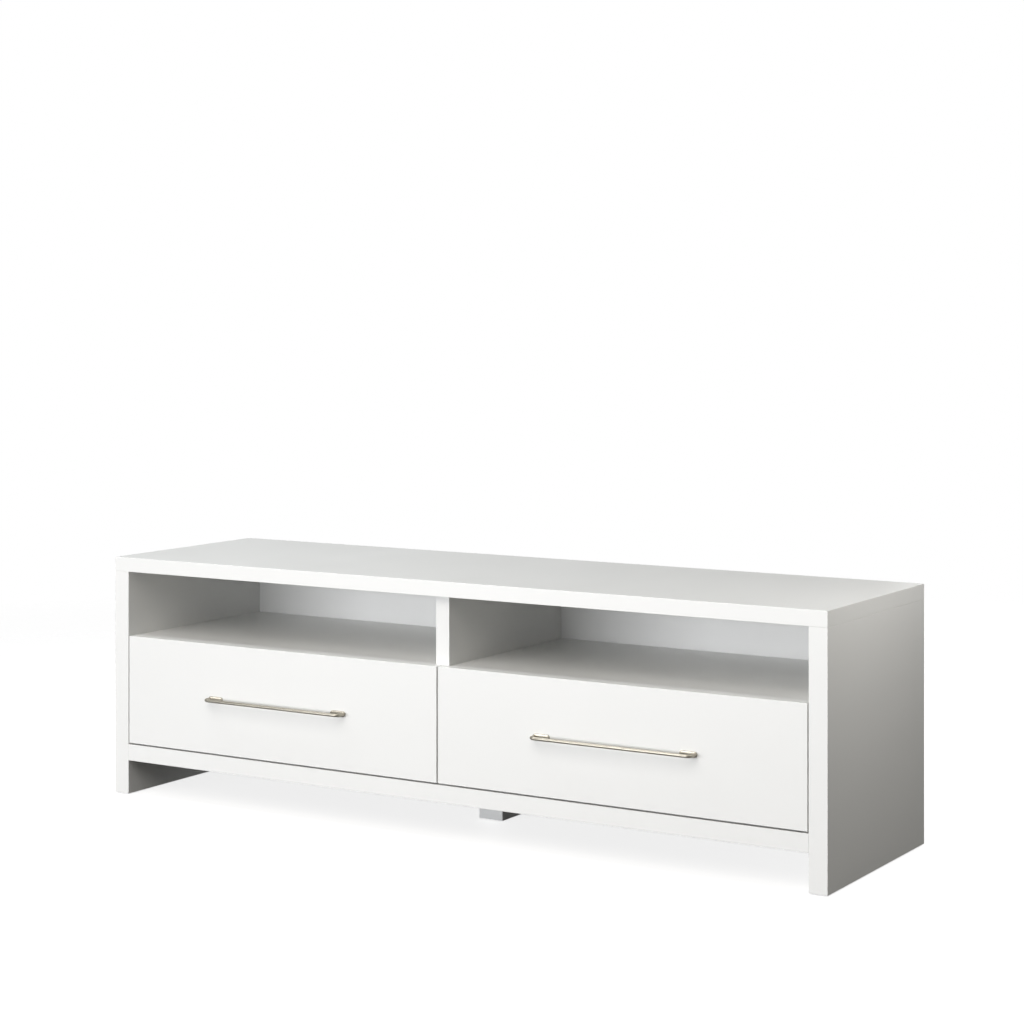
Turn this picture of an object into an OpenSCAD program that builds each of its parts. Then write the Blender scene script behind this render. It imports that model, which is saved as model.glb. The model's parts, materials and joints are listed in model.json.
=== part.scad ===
/* [Overall] */
// Width over the side panels
width = 1485; // [1300:5:1700]
// Depth from the front faces to the rear edges
depth = 415; // [410:5:480]
// Height from the floor to the top surface
height = 455; // [445:5:520]
// Clear height from the floor to the rails
floor_gap = 66; // [55:1:75]

/* [Panels] */
// Thickness of the two side panels
side_t = 33; // [28:1:40]
// Thickness of the top panel
top_t = 27; // [22:1:32]
// Thickness of the centre divider
divider_t = 28; // [25:1:32]
// Thickness of the two fixed shelves
shelf_t = 18; // [18:1:22]
// Thickness of the bottom panel
bottom_t = 16; // [16:1:20]
// Thickness of the front and rear rails
rail_t = 18; // [18:1:22]
// Height of the front and rear rails
rail_h = 31; // [28:1:36]
// Thickness of the two back panels
back_t = 5; // [4:0.5:5]
// Height of the open bays between shelf and top
bay_h = 123; // [110:1:140]

/* [Cable slots] */
// Distance from the right end of each back panel to the middle of its cable slot
slot_in = 100; // [80:5:160]
// Width of the cable slot in each back panel
slot_w = 90; // [60:5:120]
// Height of the cable slot in each back panel
slot_h = 35; // [30:1:45]

/* [Centre foot] */
// Width of the centre foot
foot_w = 50; // [50:1:70]
// Depth of the centre foot
foot_d = 85; // [70:5:100]
// Distance from the front faces back to the centre foot
foot_setback = 178; // [165:1:185]

/* [Drawers] */
// Thickness of the drawer fronts
front_t = 16; // [16:1:19]
// Gap between front rail and drawer front
under_gap = 3; // [2:0.5:4]
// Gap between drawer front and side panel
side_gap = 2; // [1.5:0.5:3]
// Gap between the two drawer fronts
centre_gap = 3; // [2:0.5:5]
// Board thickness of the drawer boxes
box_t = 12; // [12:1:14]
// Thickness of the drawer bottoms
box_bottom_t = 4; // [3:0.5:5]
// Length of the drawer boxes and of their slides
slide_len = 350; // [300:50:350]

/* [Handles] */
// Length of a handle over its bends
handle_len = 312; // [200:4:400]
// Diameter of the handle bar
handle_d = 6; // [6:0.5:9]
// Distance from drawer front to the axis of the bar
handle_reach = 20; // [18:1:35]

/* [Hidden] */
$fn = 48;
white = "whitesmoke";
nickel = "#c4bba8";
zinc = "silver";
beech = "burlywood";
fit = 0.1;
eps = 0.02;
left = -1;
right = 1;

// floor glides
glide_d = 20;
glide_h = 2;
glide_pin_d = 3;
glide_pin_len = 12;
glide_inset = 45;

// outline in plan: the origin is the middle of the whole object, handles included
handle_out = handle_reach + handle_d / 2;
front_y = handle_out - (depth + handle_out) / 2;
rear_y = front_y + depth;
side_x = width / 2 - side_t;
bay_x0 = divider_t / 2;
bay_x1 = side_x;
bay_mid = (bay_x0 + bay_x1) / 2;

// levels
top_z = height - top_t;
shelf_z1 = top_z - bay_h;
shelf_z0 = shelf_z1 - shelf_t;
rail_z0 = floor_gap;
rail_z1 = rail_z0 + rail_h;
bottom_z0 = rail_z1 - bottom_t;

// back panels stand in a rebate
rebate_y = 6.4;
rebate_w = 10;
back_play = 0.5;
back_y0 = rear_y - rebate_y;
back_w = side_x + rebate_w - 1.5 * back_play;

// carcass behind the drawer fronts
stop_gap = 1.5;
carcass_y = front_y + front_t + stop_gap;
board_mid_y = (carcass_y + back_y0) / 2;

// drawer fronts and boxes
front_z0 = rail_z1 + under_gap;
front_z1 = shelf_z1;
front_x0 = centre_gap / 2;
front_x1 = side_x - side_gap;
front_mid = (front_x0 + front_x1) / 2;
slide_t = 12.7;
box_lift = 21;
box_clear = 18;
box_x0 = bay_x0 + slide_t;
box_x1 = bay_x1 - slide_t;
box_y0 = front_y + front_t;
box_y1 = box_y0 + slide_len;
box_z0 = rail_z1 + box_lift;
box_z1 = shelf_z0 - box_clear;
groove_z = box_z0 + 10;
groove_d = 6;

// dowels
dowel_d = 8;
dowel_len = 30;
dowel_in = 10;
top_dowel_len = 40;
top_dowel_in = 13;
dowel_chamfer = 1;
dowel_play = 0.5;
edge_in = 50;
rail_dowel_in = 12;
rail_dowels = 5;

// cam fittings
cam_d = 14.8;
cam_bore_d = 15;
cam_h = 12.5;
small_cam_h = 9.5;
cam_reach = 24;
cam_slot_w = 7.2;
cam_slot_past = 2.5;
bolt_thread_d = 6;
bolt_thread_len = 10;
bolt_shank_d = 5;
bolt_neck_d = 3.4;
bolt_neck_len = 5;
bolt_head_d = 6.6;
bolt_head_len = 4;
bolt_bore_d = 8;
box_cam_in = 30;

// screws
screw_d = 3.5;
screw_head_d = 6.5;
screw_head_h = 1.6;
rail_screw_len = 12;
box_rail_screw_len = 10;
tip_len = 2;
long_screw_d = 5;
long_screw_head_d = 9;
long_screw_head_h = 3.5;
long_screw_len = 48;
box_screw_len = 38;
box_screw_in = 25;
back_screw_len = 16;
back_screw_head_d = 7;
back_screw_head_h = 1.3;
back_screw_in = 5;
back_screw_from = 20;
back_screws = 4;
machine_screw_d = 4;
machine_screw_head_d = 8;
machine_screw_head_h = 2.6;
machine_screw_len = 24;
foot_screw_x = foot_w / 2 - 7;
foot_screw_y = 24;
divider_screw_y = [45, 110, 320];

// handle feet
pad_len = 32;
pad_h = 10;
pad_t = 3.5;
pad_over = 0.7;
bend_r = 9;
handle_z = (front_z0 + front_z1) / 2;
leg_x = handle_len / 2 - handle_d / 2;

// ball bearing slides: u runs from the mounting face towards the drawer box
slide_z = box_z0 + 62;
slide_y = carcass_y + stop_gap;
steel_t = 1.2;
ball_d = 3.5;
ball_play = 0.05;
cabinet_half = 22.8;
cabinet_u1 = 10.4;
middle_u0 = 3.6;
middle_u1 = 11.4;
middle_half = cabinet_half - steel_t - ball_d - 2 * ball_play;
box_rail_u0 = 5.8;
box_rail_half = middle_half - steel_t - ball_d - 2 * ball_play;
lip_h = 1.2;
box_lip_h = 1;
outer_ball_u = 7;
inner_ball_u = 9;
cage_t = 0.5;
cage_lip = 0.6;
outer_cage_u0 = 2.2;
outer_cage_u1 = 8.9;
inner_cage_u0 = 5.1;
inner_cage_u1 = 10.9;
inner_cage_t = 0.4;
cage_len = slide_len / 2 - 5;
cage_y = slide_y + slide_len / 4 + 2.5;
balls_per_row = 5;
ball_in = 10;
slide_screw_y = [28, slide_len / 2, slide_len - 28];

// bumpers
bumper_d = 8;
bumper_h = 1.2;
bumper_in = 60;

// ---- placing helpers ----

// Everything is drawn on the right-hand half; the left half is its mirror image.
module on_side(side) {
    mirror([side < 0 ? 1 : 0, 0, 0]) children();
}

module both_sides() {
    for (side = [left, right]) on_side(side) children();
}

module box(low, high) {
    translate(low) cube(high - low);
}

module along_x(length, d, from = 0) {
    translate([from, 0, 0]) rotate([0, 90, 0]) cylinder(h = length, d = d);
}

module along_y(y0, length) {
    translate([0, y0 + length, 0]) rotate([90, 0, 0]) linear_extrude(length) children();
}

// ---- fasteners: joint frames have +X pointing into the mating panel ----

module dowel(length, inside) {
    c = dowel_chamfer;
    r = dowel_d / 2;
    translate([inside - length, 0, 0])
        rotate([0, 90, 0])
            rotate_extrude()
                polygon([[0, 0], [r - c, 0], [r, c], [r, length - c], [r - c, length], [0, length]]);
}

module dowel_hole(length, inside) {
    along_x(length + 2 * dowel_play, dowel_d + fit, inside - length - dowel_play);
}

module cam_bolt() {
    neck_x = cam_reach - bolt_neck_len;
    head_x = cam_reach + bolt_head_len / 2;
    along_x(bolt_thread_len, bolt_thread_d);
    along_x(neck_x, bolt_shank_d, -neck_x);
    along_x(head_x, bolt_neck_d, -head_x);
    along_x(bolt_head_len, bolt_head_d, -head_x);
}

module cam_bolt_hole() {
    along_x(bolt_thread_len + 1, bolt_thread_d + fit, -1);
}

module cam_lock(h, axis_h) {
    recess = [8, 1.4, 2];
    translate([-cam_reach, 0, -axis_h])
        difference() {
            cylinder(h = h, d = cam_d);
            translate([-cam_slot_past, -cam_slot_w / 2, axis_h - cam_slot_w / 2])
                cube([cam_d, cam_slot_w, h]);
            for (turn = [0, 90])
                rotate([0, 0, turn]) cube(recess, center = true);
        }
}

module cam_holes(h, axis_h) {
    along_x(cam_reach + 1, bolt_bore_d, -cam_reach);
    translate([-cam_reach, 0, -axis_h - 1]) cylinder(h = h + 1, d = cam_bore_d);
}

// Screws lie along -Z with the top of the head at the origin.
module cross_recess(d) {
    for (turn = [0, 90])
        rotate([0, 0, turn]) cube([d * 0.55, d * 0.12, d * 0.3], center = true);
}

module flat_screw(length, d, head_d, head_h) {
    difference() {
        rotate_extrude()
            polygon([[0, 0], [head_d / 2, 0], [d / 2, -head_h], [d / 2, tip_len - length], [0, -length]]);
        cross_recess(head_d);
    }
}

module flat_screw_hole(length, d, head_d, head_h) {
    r = d / 2 + fit / 2;
    head_r = head_d / 2 + fit / 2;
    rotate_extrude()
        polygon([[0, 1], [head_r, 1], [head_r, 0], [r, -head_h], [r, -length - 1], [0, -length - 1]]);
}

module pan_screw(length, d, head_d, head_h, tip) {
    c = head_h * 0.35;
    difference() {
        rotate_extrude()
            polygon([
                [0, head_h], [head_d / 2 - c, head_h], [head_d / 2, head_h - c], [head_d / 2, 0],
                [d / 2, 0], [d / 2, tip - length], [0, -length],
            ]);
        translate([0, 0, head_h]) cross_recess(head_d);
    }
}

// ---- where the fasteners go ----

module shelf_ends() {
    translate([bay_x1, 0, shelf_z0 + shelf_t / 2]) children();
    translate([bay_x0, 0, shelf_z0 + shelf_t / 2]) mirror([1, 0, 0]) children();
}

module bottom_end() {
    translate([side_x, 0, bottom_z0 + bottom_t / 2]) children();
}

module cam_rows() {
    for (y = [carcass_y + edge_in, back_y0 - edge_in]) translate([0, y, 0]) children();
}

module shelf_cams() {
    both_sides() shelf_ends() cam_rows() children();
}

module bottom_cams() {
    both_sides() bottom_end() cam_rows() children();
}

module board_dowels() {
    both_sides() {
        shelf_ends() translate([0, board_mid_y, 0]) children();
        bottom_end() translate([0, board_mid_y, 0]) children();
    }
}

module rail_end_dowels() {
    for (y = [front_y + rail_t / 2, back_y0 - rail_t / 2])
        both_sides() translate([side_x, y, (rail_z0 + rail_z1) / 2]) children();
}

// Dowels between the bottom panel's edges and the rails.
module rail_face_dowels() {
    step = 2 * (side_x - edge_in) / (rail_dowels - 1);
    for (i = [0:rail_dowels - 1])
        translate([-side_x + edge_in + i * step, 0, bottom_z0 + bottom_t / 2]) {
            translate([0, front_y + rail_t, 0]) rotate([0, 0, -90]) children();
            translate([0, back_y0 - rail_t, 0]) rotate([0, 0, 90]) children();
        }
}

// Upright dowels that carry the top panel.
module top_dowels() {
    for (x = [-side_x - side_t / 2, 0, side_x + side_t / 2])
        for (y = [carcass_y + edge_in, board_mid_y, back_y0 - edge_in])
            translate([x, y, top_z]) rotate([0, -90, 0]) children();
}

module divider_screw_places() {
    for (y = divider_screw_y)
        translate([0, front_y + y, bottom_z0]) rotate([180, 0, 0]) children();
}

module foot_screw_places() {
    for (x = [-foot_screw_x, foot_screw_x])
        for (y = [-foot_screw_y, foot_screw_y])
            translate([x, front_y + foot_setback + foot_d / 2 + y, rail_z1]) children();
}

module back_screw_places() {
    step = (bay_x1 - bay_x0 - 3 * back_screw_from) / (back_screws - 1);
    both_sides()
        translate([0, back_y0 + back_t, 0]) {
            for (i = [0:back_screws - 1])
                for (z = [rail_z0 + rail_h / 2, top_z + back_screw_in])
                    translate([bay_x0 + back_screw_from + i * step, 0, z]) rotate([-90, 0, 0]) children();
            for (x = [bay_x0 / 2, side_x + back_screw_in])
                for (z = [rail_z1 + edge_in, shelf_z0])
                    translate([x, 0, z]) rotate([-90, 0, 0]) children();
        }
}

module glide_places() {
    both_sides()
        for (y = [front_y + glide_inset, rear_y - glide_inset])
            translate([side_x + side_t / 2, y, 0]) children();
    translate([0, front_y + foot_setback + foot_d / 2, 0]) children();
}

module bumper_places() {
    both_sides()
        for (x = [bay_x0 + bumper_in, bay_x1 - bumper_in])
            translate([x, carcass_y, shelf_z0 + shelf_t / 2]) rotate([90, 0, 0]) children();
}

// Frame of a slide: u = X from the mounting face, Z from the slide's middle.
module slide_at(outer) {
    translate([outer ? bay_x1 : bay_x0, 0, slide_z]) mirror([outer ? 1 : 0, 0, 0]) children();
}

module both_slides() {
    for (outer = [false, true]) slide_at(outer) children();
}

module slide_screw_places(u) {
    for (y = slide_screw_y)
        translate([u, slide_y + y, 0]) children();
}

module handle_leg_places() {
    for (x = [-leg_x, leg_x]) translate([front_mid + x, 0, handle_z]) children();
}

// Frame of the joint between a box side and the drawer front; the box's middle mirrors it.
module box_front_joints() {
    for (turn = [0, 1])
        translate([bay_mid, 0, 0]) mirror([turn, 0, 0]) translate([-bay_mid, 0, 0])
            for (z = [box_z0 + box_cam_in, box_z1 - box_cam_in])
                translate([box_x1 - box_t / 2, box_y0, z]) rotate([-90, 0, -90]) children();
}

module box_back_screw_places() {
    for (turn = [0, 1])
        translate([bay_mid, 0, 0]) mirror([turn, 0, 0]) translate([-bay_mid, 0, 0])
            for (z = [box_z0 + box_screw_in, box_z1 - box_screw_in])
                translate([box_x1, box_y1 - box_t / 2, z]) rotate([0, 90, 0]) children();
}

// ---- carcass panels ----

module top_panel() {
    color(white)
        difference() {
            box([-width / 2, front_y, top_z], [width / 2, rear_y, height]);
            box([-side_x - rebate_w, back_y0, top_z - 1], [side_x + rebate_w, rear_y + 1, top_z + rebate_w]);
            top_dowels() dowel_hole(top_dowel_len, top_dowel_in);
            back_screw_places() back_screw_hole();
        }
}

module side_panel() {
    difference() {
        box([side_x, front_y, glide_h], [side_x + side_t, rear_y, top_z]);
        box([side_x - 1, back_y0, rail_z0], [side_x + rebate_w, rear_y + 1, top_z + 1]);
        top_dowels() dowel_hole(top_dowel_len, top_dowel_in);
        shelf_cams() cam_bolt_hole();
        bottom_cams() cam_bolt_hole();
        board_dowels() dowel_hole(dowel_len, dowel_in);
        rail_end_dowels() dowel_hole(dowel_len, dowel_in);
        back_screw_places() back_screw_hole();
        slide_at(true) slide_screw_places(steel_t) cabinet_screw_hole();
        glide_places() cylinder(h = glide_h + glide_pin_len + 1, d = glide_pin_d + fit);
    }
}

module left_side_panel() {
    color(white) on_side(left) side_panel();
}

module right_side_panel() {
    color(white) side_panel();
}

module centre_divider() {
    color(white)
        difference() {
            box([-divider_t / 2, carcass_y, rail_z1], [divider_t / 2, back_y0, top_z]);
            top_dowels() dowel_hole(top_dowel_len, top_dowel_in);
            shelf_cams() cam_bolt_hole();
            board_dowels() dowel_hole(dowel_len, dowel_in);
            divider_screw_places() long_screw_hole();
            back_screw_places() back_screw_hole();
            both_sides() slide_at(false) slide_screw_places(steel_t) cabinet_screw_hole();
        }
}

module shelf() {
    difference() {
        box([bay_x0, carcass_y, shelf_z0], [bay_x1, back_y0, shelf_z1]);
        shelf_cams() cam_holes(cam_h, shelf_t / 2);
        board_dowels() dowel_hole(dowel_len, dowel_in);
    }
}

module left_shelf() {
    color(white) on_side(left) shelf();
}

module right_shelf() {
    color(white) shelf();
}

module bottom_panel() {
    color(white)
        difference() {
            box([-side_x, front_y + rail_t, bottom_z0], [side_x, back_y0 - rail_t, rail_z1]);
            bottom_cams() cam_holes(cam_h, bottom_t / 2);
            board_dowels() dowel_hole(dowel_len, dowel_in);
            rail_face_dowels() dowel_hole(dowel_len, rail_dowel_in);
            divider_screw_places() long_screw_hole();
            foot_screw_places() long_screw_hole();
        }
}

module rail(y0) {
    color(white)
        difference() {
            box([-side_x, y0, rail_z0], [side_x, y0 + rail_t, rail_z1]);
            rail_end_dowels() dowel_hole(dowel_len, dowel_in);
            rail_face_dowels() dowel_hole(dowel_len, rail_dowel_in);
            back_screw_places() back_screw_hole();
        }
}

module front_rail() {
    rail(front_y);
}

module rear_rail() {
    rail(back_y0 - rail_t);
}

// The cable slot stands just above the shelf, x from the middle of the stand.
module cable_slot(x) {
    r = slot_h / 2;
    z = shelf_z1 + r + 4;
    translate([x, back_y0 - 1, z])
        rotate([-90, 0, 0]) {
            translate([0, 0, (back_t + 2) / 2]) cube([slot_w - slot_h, slot_h, back_t + 2], center = true);
            for (end = [r - slot_w / 2, slot_w / 2 - r])
                translate([end, 0, 0]) cylinder(h = back_t + 2, r = r);
        }
}

module back_panel(slot_x) {
    difference() {
        box(
            [back_play / 2, back_y0, rail_z0 + back_play],
            [back_play / 2 + back_w, back_y0 + back_t, top_z + rebate_w - back_play]
        );
        cable_slot(slot_x);
        back_screw_places() back_screw_hole();
    }
}

// Both back panels are the same board, so their slots aren't mirror images of each other.
module left_back_panel() {
    color(white) on_side(left) back_panel(back_play / 2 + slot_in);
}

module right_back_panel() {
    color(white) back_panel(back_play / 2 + back_w - slot_in);
}

module centre_foot() {
    y0 = front_y + foot_setback;
    color("lightgray")
        difference() {
            box([-foot_w / 2, y0, glide_h], [foot_w / 2, y0 + foot_d, bottom_z0]);
            foot_screw_places() long_screw_hole();
            glide_places() cylinder(h = glide_h + glide_pin_len + 1, d = glide_pin_d + fit);
        }
}

module glide() {
    c = 0.6;
    r = glide_d / 2;
    pin_r = glide_pin_d / 2;
    top = glide_h + glide_pin_len;
    rotate_extrude()
        polygon([[0, 0], [r - c, 0], [r, c], [r, glide_h], [pin_r, glide_h], [pin_r, top - 2], [0, top]]);
}

module floor_glides() {
    color("dimgray") glide_places() glide();
}

// ---- carcass fasteners ----

module back_screw_hole() {
    translate([0, 0, -back_screw_len - 1])
        cylinder(h = back_screw_len + 1 + eps, d = screw_d + fit);
}

module cabinet_screw_hole() {
    rotate([0, 90, 0]) flat_screw_hole(rail_screw_len, screw_d, screw_head_d, screw_head_h);
}

module long_screw_hole() {
    flat_screw_hole(long_screw_len, long_screw_d, long_screw_head_d, long_screw_head_h);
}

module wood_dowels() {
    color(beech) {
        top_dowels() dowel(top_dowel_len, top_dowel_in);
        board_dowels() dowel(dowel_len, dowel_in);
        rail_end_dowels() dowel(dowel_len, dowel_in);
        rail_face_dowels() dowel(dowel_len, rail_dowel_in);
    }
}

module cam_locks() {
    color(zinc) {
        shelf_cams() cam_lock(cam_h, shelf_t / 2);
        bottom_cams() cam_lock(cam_h, bottom_t / 2);
    }
}

module cam_bolts() {
    color(zinc) {
        shelf_cams() cam_bolt();
        bottom_cams() cam_bolt();
    }
}

module panel_screws() {
    color(zinc) {
        divider_screw_places() long_screw();
        foot_screw_places() long_screw();
    }
}

module long_screw() {
    flat_screw(long_screw_len, long_screw_d, long_screw_head_d, long_screw_head_h);
}

module back_panel_screws() {
    color(zinc)
        back_screw_places()
            pan_screw(back_screw_len, screw_d, back_screw_head_d, back_screw_head_h, tip_len);
}

module drawer_bumpers() {
    color("gainsboro")
        bumper_places()
            cylinder(h = bumper_h, d1 = bumper_d, d2 = bumper_d - bumper_h);
}

// ---- slides ----

// Open channel: web at u0, flanges running to u1, lips turned in or out at their ends.
module channel(u0, u1, half, web_at_u0, lip, lip_out) {
    t = steel_t;
    web_u = web_at_u0 ? u0 : u1 - t;
    lip_u = web_at_u0 ? u1 - t : u0;
    translate([web_u, -half]) square([t, 2 * half]);
    for (turn = [0, 1])
        mirror([0, turn]) {
            translate([u0, half - t]) square([u1 - u0, t]);
            if (lip > 0)
                translate([lip_u, lip_out ? half - t : half - t - lip]) square([t, t + lip]);
        }
}

module cabinet_rail(outer) {
    slide_at(outer)
        difference() {
            along_y(slide_y, slide_len)
                channel(0, cabinet_u1, cabinet_half, true, lip_h, false);
            slide_screw_places(steel_t) cabinet_screw_hole();
        }
}

module left_drawer_left_cabinet_rail() {
    color(zinc) on_side(left) cabinet_rail(true);
}

module left_drawer_right_cabinet_rail() {
    color(zinc) on_side(left) cabinet_rail(false);
}

module right_drawer_left_cabinet_rail() {
    color(zinc) cabinet_rail(false);
}

module right_drawer_right_cabinet_rail() {
    color(zinc) cabinet_rail(true);
}

module cabinet_rail_screws() {
    color(zinc)
        both_sides() both_slides() slide_screw_places(steel_t)
            rotate([0, 90, 0]) flat_screw(rail_screw_len, screw_d, screw_head_d, screw_head_h);
}

module middle_rails(side) {
    color(zinc)
        on_side(side) both_slides()
            along_y(slide_y, slide_len)
                channel(middle_u0, middle_u1, middle_half, true, 0, false);
}

module left_drawer_middle_rails() {
    middle_rails(left);
}

module right_drawer_middle_rails() {
    middle_rails(right);
}

module slide_rail(outer) {
    slide_at(outer)
        difference() {
            along_y(slide_y, slide_len)
                channel(box_rail_u0, slide_t, box_rail_half, false, box_lip_h, true);
            slide_screw_places(slide_t - steel_t) box_rail_screw_hole();
        }
}

module box_rail_screw_hole() {
    rotate([0, -90, 0])
        flat_screw_hole(box_rail_screw_len, screw_d, screw_head_d, screw_head_h);
}

// Spacing of the balls along their cage.
ball_step = (cage_len - 2 * ball_in) / (balls_per_row - 1);

module ball_rows(u, z) {
    for (side_z = [-z, z])
        for (i = [0:balls_per_row - 1])
            translate([u, cage_y + ball_in + i * ball_step, side_z]) children();
}

module ball_cage(u0, u1, t, ball_u, ball_z) {
    difference() {
        along_y(cage_y, cage_len) {
            translate([u0, -ball_z - cage_lip / 2]) square([t, 2 * ball_z + cage_lip]);
            for (z = [-ball_z, ball_z])
                translate([u0, z - cage_lip / 2]) square([u1 - u0, cage_lip]);
        }
        ball_rows(ball_u, ball_z)
            cylinder(h = 2 * cage_lip, d = ball_d + 2 * ball_play, center = true);
    }
}

outer_ball_z = middle_half + ball_play + ball_d / 2;
inner_ball_z = box_rail_half + ball_play + ball_d / 2;

module outer_ball_cages(side) {
    color("goldenrod")
        on_side(side) both_slides()
            ball_cage(outer_cage_u0, outer_cage_u1, cage_t, outer_ball_u, outer_ball_z);
}

module outer_balls(side) {
    color("gray")
        on_side(side) both_slides() ball_rows(outer_ball_u, outer_ball_z) sphere(d = ball_d);
}

module inner_ball_cages(side) {
    color("goldenrod")
        on_side(side) both_slides()
            ball_cage(inner_cage_u0, inner_cage_u1, inner_cage_t, inner_ball_u, inner_ball_z);
}

module inner_balls(side) {
    color("gray")
        on_side(side) both_slides() ball_rows(inner_ball_u, inner_ball_z) sphere(d = ball_d);
}

module left_drawer_outer_ball_cages() {
    outer_ball_cages(left);
}

module right_drawer_outer_ball_cages() {
    outer_ball_cages(right);
}

module left_drawer_outer_balls() {
    outer_balls(left);
}

module right_drawer_outer_balls() {
    outer_balls(right);
}

module left_drawer_inner_ball_cages() {
    inner_ball_cages(left);
}

module right_drawer_inner_ball_cages() {
    inner_ball_cages(right);
}

module left_drawer_inner_balls() {
    inner_balls(left);
}

module right_drawer_inner_balls() {
    inner_balls(right);
}

// ---- drawers ----

module bottom_groove() {
    low = [box_x0 + box_t - groove_d, box_y0 - groove_d, groove_z - fit];
    high = [box_x1 - box_t + groove_d, box_y1 - box_t + groove_d, groove_z + box_bottom_t + fit];
    box(low, high);
}

module drawer_front(side) {
    color(white)
        on_side(side)
            difference() {
                box([front_x0, front_y, front_z0], [front_x1, front_y + front_t, front_z1]);
                bottom_groove();
                box_front_joints() cam_bolt_hole();
                handle_leg_places()
                    translate([0, front_y - 1, 0]) rotate([-90, 0, 0])
                        cylinder(h = front_t + 2, d = machine_screw_d + 5 * fit);
            }
}

module box_side(outer) {
    x0 = outer ? box_x1 - box_t : box_x0;
    difference() {
        box([x0, box_y0, box_z0], [x0 + box_t, box_y1, box_z1]);
        bottom_groove();
        box_front_joints() cam_holes(small_cam_h, box_t / 2);
        box_back_screw_places() box_screw_hole();
        slide_at(outer) slide_screw_places(slide_t - steel_t) box_rail_screw_hole();
    }
}

module box_back(side) {
    color(white)
        on_side(side)
            difference() {
                box([box_x0 + box_t, box_y1 - box_t, box_z0], [box_x1 - box_t, box_y1, box_z1]);
                bottom_groove();
                box_back_screw_places() box_screw_hole();
            }
}

module box_bottom(side) {
    in = groove_d - back_play;
    low = [box_x0 + box_t - in, box_y0 - in, groove_z];
    high = [box_x1 - box_t + in, box_y1 - box_t + in, groove_z + box_bottom_t];
    color(white) on_side(side) box(low, high);
}

module box_screw_hole() {
    flat_screw_hole(box_screw_len, long_screw_d, long_screw_head_d, long_screw_head_h);
}

module box_screws(side) {
    color(zinc)
        on_side(side) box_back_screw_places()
            flat_screw(box_screw_len, long_screw_d, long_screw_head_d, long_screw_head_h);
}

module box_cam_locks(side) {
    color(zinc) on_side(side) box_front_joints() cam_lock(small_cam_h, box_t / 2);
}

module box_cam_bolts(side) {
    color(zinc) on_side(side) box_front_joints() cam_bolt();
}

module slide_screws(side) {
    color(zinc)
        on_side(side) both_slides() slide_screw_places(slide_t - steel_t)
            rotate([0, -90, 0]) flat_screw(box_rail_screw_len, screw_d, screw_head_d, screw_head_h);
}

// One end of the handle: bend, leg and the oval foot lying on the drawer front.
module handle_end() {
    pad_r = pad_h / 2;
    pad_x1 = leg_x + handle_d / 2 + pad_over - pad_r;
    pad_x0 = pad_x1 - (pad_len - pad_h);
    translate([leg_x - bend_r, bend_r, 0])
        rotate([0, 0, -90]) rotate_extrude(angle = 90) translate([bend_r, 0]) circle(d = handle_d);
    translate([leg_x, bend_r, 0])
        rotate([-90, 0, 0]) cylinder(h = handle_reach - bend_r, d = handle_d);
    translate([0, handle_reach - pad_t, 0])
        rotate([-90, 0, 0]) {
            for (x = [pad_x0, pad_x1]) translate([x, 0, 0]) cylinder(h = pad_t, r = pad_r);
            translate([pad_x0, -pad_r, 0]) cube([pad_x1 - pad_x0, pad_h, pad_t]);
        }
}

module handle(side) {
    bar_len = 2 * (leg_x - bend_r);
    color(nickel)
        on_side(side)
            translate([front_mid, front_y, handle_z])
                difference() {
                    translate([0, -handle_reach, 0]) {
                        along_x(bar_len, handle_d, -bar_len / 2);
                        for (turn = [0, 1]) mirror([turn, 0, 0]) handle_end();
                    }
                    for (x = [-leg_x, leg_x])
                        translate([x, 1, 0]) rotate([90, 0, 0])
                            cylinder(h = machine_screw_len - front_t + 2, d = machine_screw_d + fit);
                }
}

module handle_screws(side) {
    color(zinc)
        on_side(side) handle_leg_places()
            translate([0, front_y + front_t, 0]) rotate([-90, 0, 0])
                pan_screw(machine_screw_len, machine_screw_d, machine_screw_head_d, machine_screw_head_h, 0);
}

module left_drawer_front() {
    drawer_front(left);
}

module left_drawer_left_side() {
    color(white) on_side(left) box_side(true);
}

module left_drawer_right_side() {
    color(white) on_side(left) box_side(false);
}

module left_drawer_back() {
    box_back(left);
}

module left_drawer_bottom() {
    box_bottom(left);
}

module left_drawer_handle() {
    handle(left);
}

module left_drawer_handle_screws() {
    handle_screws(left);
}

module left_drawer_cam_locks() {
    box_cam_locks(left);
}

module left_drawer_cam_bolts() {
    box_cam_bolts(left);
}

module left_drawer_box_screws() {
    box_screws(left);
}

module left_drawer_left_slide_rail() {
    color(zinc) on_side(left) slide_rail(true);
}

module left_drawer_right_slide_rail() {
    color(zinc) on_side(left) slide_rail(false);
}

module left_drawer_slide_screws() {
    slide_screws(left);
}

module right_drawer_front() {
    drawer_front(right);
}

module right_drawer_left_side() {
    color(white) box_side(false);
}

module right_drawer_right_side() {
    color(white) box_side(true);
}

module right_drawer_back() {
    box_back(right);
}

module right_drawer_bottom() {
    box_bottom(right);
}

module right_drawer_handle() {
    handle(right);
}

module right_drawer_handle_screws() {
    handle_screws(right);
}

module right_drawer_cam_locks() {
    box_cam_locks(right);
}

module right_drawer_cam_bolts() {
    box_cam_bolts(right);
}

module right_drawer_box_screws() {
    box_screws(right);
}

module right_drawer_left_slide_rail() {
    color(zinc) slide_rail(false);
}

module right_drawer_right_slide_rail() {
    color(zinc) slide_rail(true);
}

module right_drawer_slide_screws() {
    slide_screws(right);
}

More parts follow.
